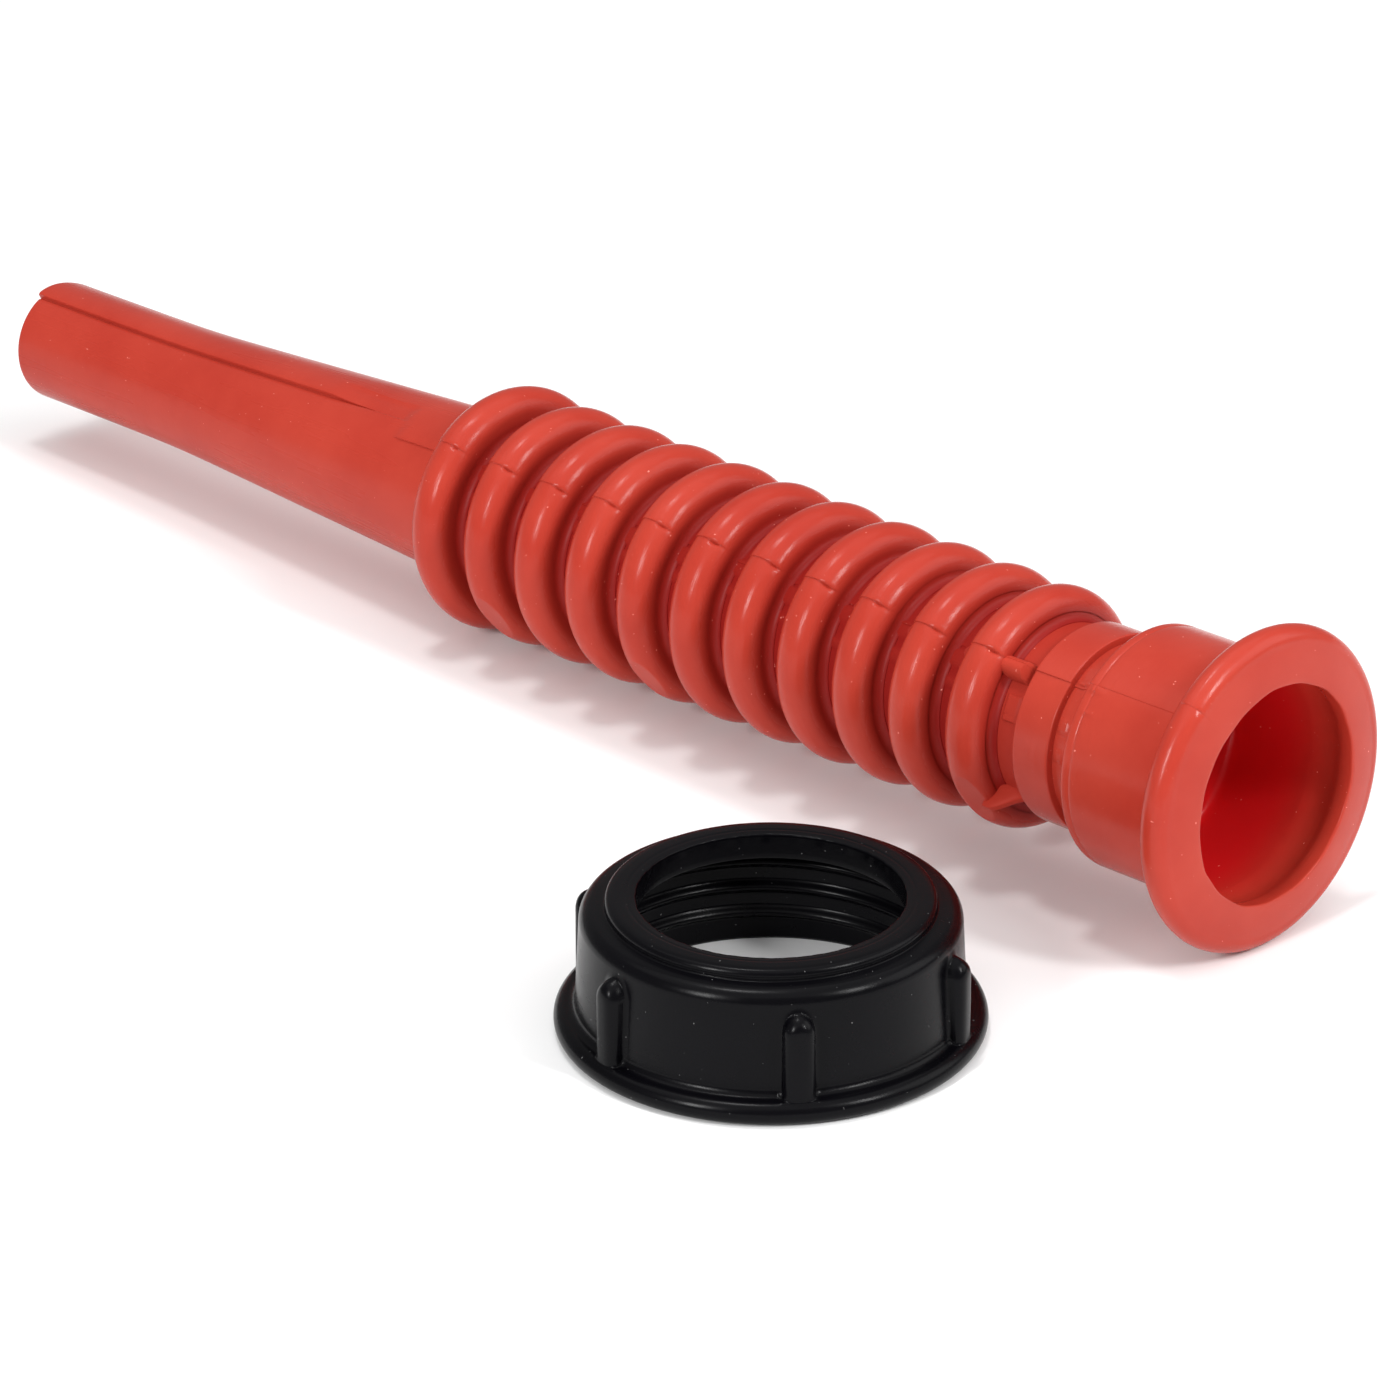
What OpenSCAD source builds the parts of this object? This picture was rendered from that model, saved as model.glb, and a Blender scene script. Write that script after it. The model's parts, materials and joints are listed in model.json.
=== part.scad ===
// Flexible pouring spout for a fuel can, lying on a flat surface, with its screw collar beside it.
// The spout is hollow from end to end: a flanged inlet, a bellows of eleven crests and a tapered
// nozzle. The collar slips over the nozzle and the bellows, turns on the barrel and clamps the
// flange on the neck of the can. +Z is up, the nozzle points to -X and the surface is at z = 0.

/* [Spout] */
// Length of the spout from the sealing face to the nozzle's end
spout_l = 275.5; // [262:0.5:290]
// Wall thickness of the spout
wall = 1.3; // [1:0.1:1.6]
// Radius of the opening in the sealing face
mouth_r = 16.5; // [15.5:0.1:16.8]
// Radius out to which the sealing face is flat
seat_r = 19; // [18:0.5:20]
// Radius of the inlet flange
flange_r = 24.5; // [23:0.5:24.5]
// Radius of the flange's rounded rim in section
rim_r = 2.4; // [1.5:0.1:2.6]
// Distance from the sealing face back to the middle of the rim
rim_z = 3.2; // [2.8:0.1:4]
// Outer radius of the barrel that the collar turns on
barrel_r = 18.6; // [18:0.1:18.7]
// Wall thickness of the barrel
barrel_wall = 1.6; // [1.4:0.1:1.8]
// Thickness of the lip round the mouth
lip_depth = 2; // [1.6:0.1:2.4]
// Distance from the sealing face to the barrel's far end
barrel_end = 25.3; // [22:0.1:27]
// Outer radius of the groove next to the barrel
groove_r = 14.8; // [14.4:0.1:15.2]
// Distance from the sealing face to the near edge of the neck band
band_start = 30.5; // [29:0.1:32]
// Distance from the sealing face to the far edge of the neck band
band_end = 37.4; // [36:0.1:39]
// Outer radius of the neck band
band_r = 15.4; // [15.2:0.1:16.5]

/* [Bellows] */
// Number of crests
crests = 11; // [11:1:11]
// Distance from the sealing face to the middle of the first crest
first_crest_z = 46; // [44:0.5:47]
// Distance from one crest to the next
pitch = 11.5; // [10.5:0.1:11.6]
// Outer radius of the crest next to the inlet
first_crest_r = 18.6; // [17.6:0.1:19]
// Outer radius of the last crest but one
next_last_crest_r = 19.45; // [18:0.05:20]
// Outer radius of the crest next to the nozzle
last_crest_r = 20; // [19:0.1:21]
// Width of a crest along the spout
crest_w = 6.3; // [5:0.1:7]
// Outer radius of the valleys between the crests
valley_r = 14.1; // [13.5:0.1:14.5]

/* [Nozzle] */
// Outer radius at the wide end of the nozzle
nozzle_root_r = 14; // [13.5:0.1:14.5]
// Outer radius of the straight tip
tip_r = 10.15; // [9.5:0.05:10.6]
// Length of the straight tip
tip_l = 36.5; // [20:0.5:45]
// Size of the broken edge at the nozzle's end
tip_chamfer = 0.4; // [0.2:0.1:0.6]

/* [Collar] */
// Height of the collar
collar_h = 20.4; // [19:0.1:24]
// Radius of the collar's foot
foot_r = 30.6; // [30:0.1:32]
// Height of the foot's rounded edge
foot_h = 3; // [2.6:0.1:3.4]
// Height at which the top of the foot meets the wall
foot_top = 4.2; // [3.8:0.1:4.8]
// Outer radius of the collar's wall where it meets the foot
collar_r = 27.5; // [27.2:0.1:28]
// Outer radius of the collar's wall at the shoulder
collar_shoulder_r = 26.9; // [26.8:0.1:27.2]
// Inner radius of the skirt, at the root of the thread
skirt_r = 25.75; // [25.5:0.05:26]
// Radius of the opening in the collar's top
collar_mouth_r = 18.9; // [18.8:0.1:19.5]
// Outer radius of the raised lip on the collar's top
lip_r = 23.3; // [23:0.1:24.5]
// Height of the lip above the shoulder
lip_h = 1.6; // [1:0.1:2]
// Thickness of the collar's top
collar_top_t = 4; // [2:0.1:4.2]
// Radius of the collar's rounded shoulder
shoulder_r = 2; // [1.2:0.1:2]
// Number of grip ribs
ribs = 6; // [3:1:12]
// Radius of a rib in section
rib_r = 2.1; // [1:0.1:2.4]
// Height of a rib's rounded end
rib_top = 15.8; // [12:0.1:17.5]
// Direction of the first rib, seen from above
rib_angle = -37; // [-180:1:180]

/* [Thread] */
// Distance between the turns of the thread
thread_pitch = 4.1; // [3.8:0.1:4.4]
// Number of turns
thread_turns = 2.6; // [1.5:0.1:2.7]
// Depth of the thread
thread_depth = 0.95; // [0.6:0.05:1.2]
// Height of the ridge where it meets the skirt
thread_root_w = 2; // [1.6:0.1:2.4]
// Height of the ridge at its crest
thread_crest_w = 0.8; // [0.5:0.1:1.2]
// Height of the thread's lower end
thread_start = 3; // [2.4:0.1:3.4]

/* [Layout] */
// Distance from the sealing face back to the collar's axis
collar_back = 34.7; // [25:0.1:60]
// Distance from the spout's axis sideways to the collar's axis
collar_side = 67.2; // [58:0.1:90]

/* [Hidden] */
$fn = 96;
// How far a rib's axis lies inside the wall's surface, so that the two are never tangent
RIB_INSET = 0.01;
// How far a shape that cuts reaches past what it cuts
CUT = 1;
// Least height of the thread's ridge, as a share of its full height
THREAD_END = 0.1;

// The spout lies on the flange's rim and on the widest crest, so its axis slopes down a little.
last_crest_z = first_crest_z + (crests - 1) * pitch;
crest_arc = crest_w / 2;
rim_ring_r = flange_r - rim_r;
last_ring_r = last_crest_r - crest_arc;
rest_run = last_crest_z - rim_z;
rest_drop = rim_ring_r - last_ring_r;
tilt = atan2(rest_drop, rest_run) + asin((rim_r - crest_arc) / norm([rest_run, rest_drop]));
axis_h = rim_z * sin(tilt) + rim_ring_r * cos(tilt) + rim_r;

// The origin is on the surface, under the middle of the whole layout's box.
seat_x = (spout_l * cos(tilt) + (tip_r - tip_chamfer - seat_r) * sin(tilt)) / 2;
spout_y = (collar_side + foot_r - flange_r) / 2;
collar_x = seat_x - collar_back;
collar_y = spout_y - collar_side;

passage_r = valley_r - wall;
barrel_bore = barrel_r - barrel_wall;
flange_back = rim_z + rim_r;
nozzle_start = last_crest_z + crest_arc;
tip_start = spout_l - tip_l;
shoulder_z = collar_h - lip_h;
skirt_top = collar_h - collar_top_t;
foot_ring_r = foot_r - foot_h / 2;
wall_top = shoulder_z - shoulder_r;
wall_slope = (collar_r - collar_shoulder_r) / (wall_top - foot_top);
thread_steps = 48;
thread_fade_steps = thread_steps / 8;

RED = [0.80, 0.25, 0.18];
DEEP_RED = [0.72, 0.20, 0.15];
BLACK = [0.12, 0.12, 0.13];
DARK = [0.17, 0.17, 0.18];

// Distance of a crest's middle from the sealing face. Crest 1 is next to the inlet.
function crest_z(i) = first_crest_z + (i - 1) * pitch;

// The crests grow evenly towards the nozzle, and the last one is wider still.
function crest_r(i) = i == crests
    ? last_crest_r
    : first_crest_r + (next_last_crest_r - first_crest_r) * (i - 1) / (crests - 2);

// Where the web before crest i starts: at the neck band, or at the crest before it.
function web_start(i) = i == 1 ? band_end : crest_z(i - 1) + crest_arc;

// Lays a shape on the spout's axis. Its own +Z runs from the sealing face to the nozzle's end.
module on_spout() {
    translate([seat_x, spout_y, axis_h])
        rotate([0, -90 - tilt, 0])
            children();
}

module on_collar() {
    translate([collar_x, collar_y, 0])
        children();
}

// A plain tube on the spout's axis, from z0 to z1.
module tube(z0, z1, outer, inner) {
    translate([0, 0, z0])
        difference() {
            cylinder(h = z1 - z0, r = outer);
            translate([0, 0, -CUT])
                cylinder(h = z1 - z0 + 2 * CUT, r = inner);
        }
}

// The flange has a flat seat round its mouth, a face that falls away and a rounded rim.
module inlet_flange() {
    color(RED)
        on_spout()
            rotate_extrude() {
                difference() {
                    union() {
                        polygon([
                            [mouth_r, 0],
                            [seat_r, 0],
                            [rim_ring_r, rim_z - rim_r],
                            [rim_ring_r, flange_back],
                            [mouth_r, flange_back]
                        ]);
                        translate([rim_ring_r, rim_z])
                            circle(r = rim_r);
                    }
                    translate([0, lip_depth])
                        square([barrel_bore, flange_back]);
                }
            }
}

// The barrel ends in a wall that steps down to the bellows' bore.
module inlet_barrel() {
    color(RED)
        on_spout()
            rotate_extrude()
                difference() {
                    translate([passage_r, flange_back])
                        square([barrel_r - passage_r, barrel_end - flange_back]);
                    translate([0, flange_back - CUT])
                        square([barrel_bore, barrel_end - wall - flange_back + CUT]);
                }
}

module neck_band() {
    color(RED)
        on_spout()
            union() {
                tube(barrel_end, band_start, groove_r, passage_r);
                tube(band_start, band_end, band_r, passage_r);
            }
}

// One hollow crest: an arch in section, open to the spout's bore.
module crest(i) {
    ring_r = crest_r(i) - crest_arc;
    color(RED)
        on_spout()
            translate([0, 0, crest_z(i)])
                rotate_extrude()
                    difference() {
                        union() {
                            translate([ring_r, 0])
                                circle(r = crest_arc);
                            translate([passage_r, -crest_arc])
                                square([ring_r - passage_r, crest_w]);
                        }
                        translate([ring_r, 0])
                            circle(r = crest_arc - wall);
                        translate([passage_r - CUT, wall - crest_arc])
                            square([ring_r - passage_r + CUT, crest_w - 2 * wall]);
                    }
}

// One thin sleeve at the bottom of a valley. It is what bends.
module web(i) {
    color(DEEP_RED)
        on_spout()
            tube(web_start(i), crest_z(i) - crest_arc, valley_r, passage_r);
}

module nozzle_cone() {
    color(RED)
        on_spout()
            rotate_extrude()
                polygon([
                    [nozzle_root_r - wall, nozzle_start],
                    [nozzle_root_r, nozzle_start],
                    [tip_r, tip_start],
                    [tip_r - wall, tip_start]
                ]);
}

module nozzle_tip() {
    color(RED)
        on_spout()
            rotate_extrude()
                polygon([
                    [tip_r - wall, tip_start],
                    [tip_r, tip_start],
                    [tip_r, spout_l - tip_chamfer],
                    [tip_r - tip_chamfer, spout_l],
                    [tip_r - wall, spout_l]
                ]);
}

// The collar's outer form in section, filled in to the axis.
module collar_outline() {
    difference() {
        union() {
            square([foot_ring_r, foot_h]);
            translate([foot_ring_r, foot_h / 2])
                circle(r = foot_h / 2);
            polygon([
                [0, foot_h / 2],
                [foot_ring_r, foot_h / 2],
                [foot_ring_r, foot_h],
                [collar_r, foot_top],
                [0, foot_top]
            ]);
            polygon([
                [0, 0],
                [collar_r, 0],
                [collar_r, foot_top],
                [collar_shoulder_r, wall_top],
                [0, wall_top]
            ]);
            square([collar_shoulder_r - shoulder_r, shoulder_z]);
            translate([collar_shoulder_r - shoulder_r, wall_top])
                circle(r = shoulder_r);
            square([lip_r, collar_h]);
        }
        translate([-foot_r, 0])
            square([foot_r, collar_h]);
    }
}

module collar_shell() {
    color(BLACK)
        on_collar()
            rotate_extrude()
                difference() {
                    collar_outline();
                    translate([0, -CUT])
                        square([skirt_r, skirt_top + CUT]);
                    square([collar_mouth_r, collar_h + CUT]);
                }
}

// The ribs stand on the foot and lie against the sloping wall.
module collar_grip_ribs() {
    cut_top = rib_top + CUT;
    color(DARK)
        on_collar()
            difference() {
                for (i = [0 : ribs - 1])
                    rotate([0, 0, rib_angle + i * 360 / ribs])
                        translate([collar_r - RIB_INSET, 0, foot_h]) {
                            cylinder(h = rib_top - rib_r - foot_h, r = rib_r);
                            translate([0, 0, rib_top - rib_r - foot_h])
                                sphere(r = rib_r);
                        }
                rotate_extrude()
                    polygon([
                        [0, foot_h - CUT],
                        [foot_ring_r, foot_h - CUT],
                        [foot_ring_r, foot_h],
                        [collar_r, foot_top],
                        [collar_r - wall_slope * (cut_top - foot_top), cut_top],
                        [0, cut_top]
                    ]);
            }
}

// The ridge's section at step k: full height at the skirt, fading out over the first and last
// eighth of a turn.
function fade(k, last) = min(1, min(k, last - k) / thread_fade_steps);

function ridge(k, last) =
    let (
        a = k * 360 / thread_steps,
        z = thread_start + k * thread_pitch / thread_steps,
        r = skirt_r - thread_depth * max(THREAD_END, fade(k, last)),
        root = thread_root_w / 2,
        crest = thread_crest_w / 2
    )
    [
        [skirt_r * cos(a), skirt_r * sin(a), z - root],
        [skirt_r * cos(a), skirt_r * sin(a), z + root],
        [r * cos(a), r * sin(a), z + crest],
        [r * cos(a), r * sin(a), z - crest]
    ];

module collar_thread() {
    last = floor(thread_turns * thread_steps);
    points = [for (k = [0 : last]) each ridge(k, last)];
    sides = [
        for (k = [0 : last - 1])
            for (j = [0 : 3])
                [4 * k + j, 4 * k + (j + 1) % 4, 4 * k + 4 + (j + 1) % 4, 4 * k + 4 + j]
    ];
    end = 4 * last;
    color(DARK)
        on_collar()
            polyhedron(
                points = points,
                faces = concat([[3, 2, 1, 0]], sides, [[end, end + 1, end + 2, end + 3]]),
                convexity = 6
            );
}

inlet_flange();
inlet_barrel();
neck_band();
crest(1);  // crest_01
crest(2);  // crest_02
crest(3);  // crest_03
crest(4);  // crest_04
crest(5);  // crest_05
crest(6);  // crest_06
crest(7);  // crest_07
crest(8);  // crest_08
crest(9);  // crest_09
crest(10);  // crest_10
crest(11);  // crest_11
web(1);  // web_01
web(2);  // web_02
web(3);  // web_03
web(4);  // web_04
web(5);  // web_05
web(6);  // web_06
web(7);  // web_07
web(8);  // web_08
web(9);  // web_09
web(10);  // web_10
web(11);  // web_11
nozzle_cone();
nozzle_tip();
collar_shell();
collar_grip_ribs();
collar_thread();
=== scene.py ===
"""The looks of a flexible fuel-can spout and its screw collar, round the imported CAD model."""

import json
import math

import bpy
import numpy as np
from mathutils import Matrix, Vector


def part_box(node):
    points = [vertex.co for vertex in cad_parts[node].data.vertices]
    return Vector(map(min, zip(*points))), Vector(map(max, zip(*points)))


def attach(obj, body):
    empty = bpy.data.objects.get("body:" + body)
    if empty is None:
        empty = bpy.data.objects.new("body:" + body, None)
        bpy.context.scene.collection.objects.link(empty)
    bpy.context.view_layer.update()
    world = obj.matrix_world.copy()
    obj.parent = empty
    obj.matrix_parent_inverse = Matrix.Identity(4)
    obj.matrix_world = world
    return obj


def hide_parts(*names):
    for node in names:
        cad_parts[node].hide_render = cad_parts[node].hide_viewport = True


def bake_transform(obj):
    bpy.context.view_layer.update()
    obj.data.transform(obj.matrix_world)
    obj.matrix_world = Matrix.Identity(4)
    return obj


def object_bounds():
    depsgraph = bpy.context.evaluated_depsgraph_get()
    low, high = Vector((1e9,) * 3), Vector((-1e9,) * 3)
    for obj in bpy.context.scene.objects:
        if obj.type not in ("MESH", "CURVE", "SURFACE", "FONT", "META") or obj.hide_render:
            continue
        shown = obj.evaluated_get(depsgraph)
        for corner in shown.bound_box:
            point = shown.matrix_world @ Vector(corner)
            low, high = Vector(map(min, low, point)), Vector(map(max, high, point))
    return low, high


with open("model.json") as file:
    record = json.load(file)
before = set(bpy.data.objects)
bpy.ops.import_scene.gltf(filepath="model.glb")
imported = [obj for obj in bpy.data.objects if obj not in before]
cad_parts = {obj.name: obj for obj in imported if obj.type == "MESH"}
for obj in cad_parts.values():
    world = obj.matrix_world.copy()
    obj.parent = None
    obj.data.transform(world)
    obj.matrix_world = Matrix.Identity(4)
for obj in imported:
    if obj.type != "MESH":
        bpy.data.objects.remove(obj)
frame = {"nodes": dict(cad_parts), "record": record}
cad_low, cad_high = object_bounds()

MM = 0.001
CRESTS = 11

# ---------------------------------------------------------------- places from the frame

mounts = {m["name"]: m for m in frame["record"]["mounts"]}
joints = {j["name"]: j for j in frame["record"]["behaviour"]["joints"]}

# ALONG runs from the sealing face to the nozzle's tip, and SIDE points at the collar's side.
mouth = mounts["spout_mouth"]
OUT = Vector(mouth["axis"]).normalized()
ALONG = -OUT
SIDE = Vector((0, -1, 0))
UP = ALONG.cross(SIDE)
SEAT = Vector(mouth["pos_m"]) + OUT * (mouth["dims"]["length_mm"] * MM / 2)
COLLAR = Vector(joints["collar_turn"]["pos_m"])


def spout_span(node):
    """Start, end, inner and outer radius of a node on the spout's axis, in mm."""
    mesh = frame["nodes"][node].data
    points = np.array([v.co for v in mesh.vertices]) - np.array(SEAT)
    z = points @ np.array(ALONG)
    r = np.hypot(points @ np.array(UP), points @ np.array(SIDE))
    return z.min() / MM, z.max() / MM, r.min() / MM, r.max() / MM


def on_spout(z, r, phi):
    """Row-frame points from distances in mm along and off the spout's axis. phi 0 is up."""
    up, side = np.array(UP), np.array(SIDE)
    ring = np.cos(phi)[..., None] * up + np.sin(phi)[..., None] * side
    return np.array(SEAT) + (z[..., None] * np.array(ALONG) + r[..., None] * ring) * MM


def on_collar(z, r, phi):
    """Row-frame points from heights and radii in mm about the collar's axis. phi 0 is +X."""
    ring = np.stack([np.cos(phi) * r, np.sin(phi) * r, z], axis=-1)
    return np.array(COLLAR) + ring * MM


# ---------------------------------------------------------------- mesh tools

FULL_TURN = 2 * np.pi
SAME_POINT = 1e-4       # mm between two points that count as one
CLEAR_SHARE = 0.45      # how much of an even step is kept clear round an extra angle


def arc(z, r, radius, start, end, steps=10, wide=0):
    """Points (z, r) on an arc. 0 degrees points to +z and 90 away from the axis.

    wide is how much longer the arc's radius is along z.
    """
    a = np.radians(np.linspace(start, end, steps))
    return np.stack([z + (radius + wide) * np.cos(a), r + radius * np.sin(a)], axis=1)


def line(z0, r0, z1, r1, steps=2):
    """Points (z, r) on a straight run."""
    return np.stack([np.linspace(z0, z1, steps), np.linspace(r0, r1, steps)], axis=1)


def join(*runs):
    """One closed profile from several runs, without the points that two runs share."""
    points = np.vstack(runs)
    step = np.linalg.norm(np.roll(points, -1, axis=0) - points, axis=1)
    return points[step > SAME_POINT]


def angles(count, dense=(), offsets=(0,)):
    """Angles round the axis in radians: evenly spaced, with extra ones by the dense angles."""
    even = np.linspace(0, FULL_TURN, count, endpoint=False)
    extra = [math.radians(d + o) % FULL_TURN for d in dense for o in offsets]
    gap = FULL_TURN / count * CLEAR_SHARE
    if extra:
        away = np.abs(turn(even[:, None], np.array(extra)))
        even = even[away.min(axis=1) > gap]
    return np.unique(np.concatenate([even, extra]))


def lathe(name, profile, phi, place, shape, sharp=35, depth=None):
    """A closed ring of a mesh: the profile (z, r) turned round the axis, then shaped.

    depth(z, r) says how deep in a hollow a point lies, from 0 to 1. The material paints shade in
    the valleys, and a red glow in the bore, from it.
    """
    n, m = len(profile), len(phi)
    z = np.repeat(profile[:, :1], m, axis=1)
    r = np.repeat(profile[:, 1:], m, axis=1)
    a = np.repeat(phi[None, :], n, axis=0)
    z, r = shape(z, r, a)
    points = place(z, r, a).reshape(-1, 3)
    i, j = np.meshgrid(np.arange(n), np.arange(m), indexing="ij")
    i2, j2 = (i + 1) % n, (j + 1) % m
    quads = np.stack([i * m + j, i * m + j2, i2 * m + j2, i2 * m + j], axis=-1).reshape(-1, 4)
    piece = solid(name, points, quads, sharp)
    if depth is not None:
        layer = piece.data.attributes.new("depth", "FLOAT", "POINT")
        layer.data.foreach_set("value", np.clip(depth(z, r), 0, 1).ravel())
    return piece


def solid(name, points, faces, sharp=35):
    """A smooth-shaded mesh object whose faces point outwards."""
    faces = np.asarray(faces)
    a, b, c = points[faces[:, 0]], points[faces[:, 1]], points[faces[:, 2]]
    d = points[faces[:, -1]]
    volume = np.einsum("ij,ij->i", a, np.cross(b, c)).sum()
    volume += np.einsum("ij,ij->i", a, np.cross(c, d)).sum()
    if volume < 0:
        faces = faces[:, ::-1]
    mesh = bpy.data.meshes.new(name)
    mesh.from_pydata(points.tolist(), [], faces.tolist())
    mesh.polygons.foreach_set("use_smooth", [True] * len(mesh.polygons))
    mesh.set_sharp_from_angle(angle=math.radians(sharp))
    mesh.update()
    piece = bpy.data.objects.new(name, mesh)
    bpy.context.scene.collection.objects.link(piece)
    return piece


def turn(a, b):
    """Signed angle from b to a, in radians, within half a turn."""
    return (a - b + np.pi) % FULL_TURN - np.pi


def ramp(x, start, end):
    """0 before start, 1 after end and smooth between."""
    t = np.clip((x - start) / (end - start), 0, 1)
    return t * t * (3 - 2 * t)


def bump(x, width):
    """1 at x = 0, falling smoothly to nearly 0 at the width."""
    return np.exp(-(x / width * 1.6) ** 2)


def pad(phi, z, at, radius, half_wide, start, end, side_edge=(0.15, 0.1), end_edge=0.2):
    """1 on a small pad at an angle in degrees and from start to end along z, and 0 off it."""
    across = np.abs(turn(phi, math.radians(at))) * radius
    beside = 1 - ramp(across, half_wide - side_edge[0], half_wide + side_edge[1])
    return beside * ramp(z, start, start + end_edge) * (1 - ramp(z, end - end_edge, end))


# ---------------------------------------------------------------- the mould's parting line

PARTING = 41            # degrees from up, where the mould's halves meet on bellows and inlet
NOZZLE_PARTING = 25     # and on the nozzle
# Degrees from a parting line to the mesh's extra edges beside it.
STEP_OFFSETS = (-6, -3, -1.4, -0.5, -0.12, 0.12, 0.5, 1.4, 3, 6)
BOTH_SIDES = (0, 180)


def spout_angles(count, parting=PARTING, more=()):
    """Angles round the spout, close together at both parting lines, and more in degrees."""
    lines = [parting + side for side in BOTH_SIDES]
    return np.unique(np.concatenate([
        angles(count, lines, STEP_OFFSETS),
        np.radians(np.array(more)) % FULL_TURN,
    ]))


def mismatch(phi, parting, shift, reach=50):
    """The upper half of the mould stands shift mm proud, fading out over reach degrees."""
    away = turn(phi, math.radians(parting))
    return np.where(away < 0, shift * (1 - ramp(-away, 0, math.radians(reach))), 0)


# ---------------------------------------------------------------- inlet

flange_z0, flange_z1, mouth_r, flange_r = spout_span("inlet_flange")
barrel_z0, barrel_z1, passage_r, barrel_r = spout_span("inlet_barrel")
neck_z0, neck_z1, _, band_r = spout_span("neck_band")
web_spans = [spout_span(f"web_{i:02d}") for i in range(1, CRESTS + 1)]
crest_spans = [spout_span(f"crest_{i:02d}") for i in range(1, CRESTS + 1)]
valley_r = web_spans[0][3]

INLET_SIDES = 232
RIM_R = 2.4             # the flange's round rim
WALL = 1.3
BORE_R = 17.0           # inside the barrel
MOUTH_ROUND = 0.25
FACE_CURVE = 1.5        # power by which the sealing face falls away towards the rim
BACK_FILLET = 0.9       # between the flange's back and the barrel
BEAD_R = 0.22           # a fine raised line near the barrel's end
BARREL_ROUND = 0.9
GROOVE_R = 14.8
GROOVE_FILLET = 0.4
GROOVE_DROP = 0.5       # how much deeper the groove is beside the neck band
DROP_WIDTH = 1.9
BAND_Z = 30.5           # where the neck band starts
BAND_ROUND, BAND_END_ROUND = 0.2, 0.35
BORE_FILLET = 1.2
POCKET_START, POCKET_END, POCKET_DEPTH = 1.9, 8.5, 0.45

# Marks on the inlet: angle in degrees, half width, start, end and height in mm.
INLET_PADS = (
    (PARTING + 24, 1.1, BAND_Z - 2.6, BAND_Z - 0.4, 0.25),
    (PARTING + 42, 0.8, BAND_Z - 2.4, BAND_Z - 0.4, 0.2),
    (PARTING + 2, 0.6, 22.6, 24.2, 0.3),
    (PARTING + 13, 0.25, 21.2, 23.9, 0.18),
    (PARTING - 3, 0.3, 27.5, 30.2, 0.3),
)


def make_inlet():
    """Flange, barrel, groove and neck band, from the mouth outwards and back through the bore."""
    rim_z, rim_ring = flange_z1 - RIM_R, flange_r - RIM_R
    face = np.linspace(mouth_r + MOUTH_ROUND, rim_ring, 12)
    rise = (rim_z - RIM_R) * ((face - face[0]) / (face[-1] - face[0])) ** FACE_CURVE
    low_groove = GROOVE_R - GROOVE_DROP
    bore_end = barrel_z1 - WALL - 1
    profile = join(
        arc(MOUTH_ROUND, mouth_r + MOUTH_ROUND, MOUTH_ROUND, 270, 180, 5),
        np.stack([rise, face], axis=1),
        arc(rim_z, rim_ring, RIM_R, 172, 0, 26),
        line(flange_z1, rim_ring, flange_z1, barrel_r + BACK_FILLET, 4),
        arc(flange_z1 + BACK_FILLET, barrel_r + BACK_FILLET, BACK_FILLET, 180, 270, 8),
        line(flange_z1 + 1.2, barrel_r, barrel_z1 - 2.3, barrel_r, 16),
        arc(barrel_z1 - 1.9, barrel_r + 0.14, BEAD_R, 230, 310, 5),
        line(barrel_z1 - 1.5, barrel_r, barrel_z1 - BARREL_ROUND, barrel_r, 3),
        arc(barrel_z1 - BARREL_ROUND, barrel_r - BARREL_ROUND, BARREL_ROUND, 90, 0, 8),
        line(barrel_z1, barrel_r - 1.2, barrel_z1, GROOVE_R + GROOVE_FILLET, 5),
        arc(barrel_z1 + GROOVE_FILLET, GROOVE_R + GROOVE_FILLET, GROOVE_FILLET, 180, 270, 5),
        line(barrel_z1 + 0.6, GROOVE_R, BAND_Z - DROP_WIDTH - 0.3, GROOVE_R, 5),
        line(BAND_Z - DROP_WIDTH, low_groove, BAND_Z - 0.1, low_groove, 4),
        arc(BAND_Z + BAND_ROUND, band_r - BAND_ROUND, BAND_ROUND, 180, 90, 4),
        line(BAND_Z + 0.5, band_r, neck_z1 - 0.6, band_r, 8),
        arc(neck_z1 - BAND_END_ROUND, band_r - BAND_END_ROUND, BAND_END_ROUND, 90, 0, 5),
        line(neck_z1, band_r - 0.5, neck_z1, passage_r, 4),
        line(neck_z1 - 1, passage_r, barrel_z1, passage_r, 4),
        arc(barrel_z1 - WALL, passage_r + 1, 1, 270, 180, 5),
        line(bore_end, passage_r + 1.6, bore_end, BORE_R - 1.5, 3),
        arc(bore_end - BORE_FILLET, BORE_R - BORE_FILLET, BORE_FILLET, 0, 90, 6),
        line(bore_end - 2, BORE_R, POCKET_END + 0.5, BORE_R, 8),
        pocket(),
        line(1.6, mouth_r + 0.12, 0.4, mouth_r, 4),
    )
    turns = spout_angles(INLET_SIDES)
    piece = lathe("spout_inlet", profile, turns, on_spout, shape_inlet, depth=inlet_depth)
    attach(piece, "inlet")
    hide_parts("inlet_flange", "inlet_barrel", "neck_band")
    return piece


def pocket():
    """The shallow hollow behind the mouth's lip, where the flange bulges outwards."""
    z = np.linspace(POCKET_END, POCKET_START, 16)
    place = (POCKET_END - z) / (POCKET_END - POCKET_START)
    # The hollow ends a little inside the bore, where the lip begins.
    lip = 0.33 * ramp(-z, -4, -POCKET_START)
    r = BORE_R + POCKET_DEPTH * np.sin(np.pi * place) ** 2 - lip
    return np.stack([z, r], axis=1)


def inlet_depth(z, r):
    """The bore, where light that is reflected many times leaves only red."""
    return (r < mouth_r + 1.8) * ramp(z, 3, 14) * (1 - (r > passage_r + 0.5) * (z > barrel_z1))


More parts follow.
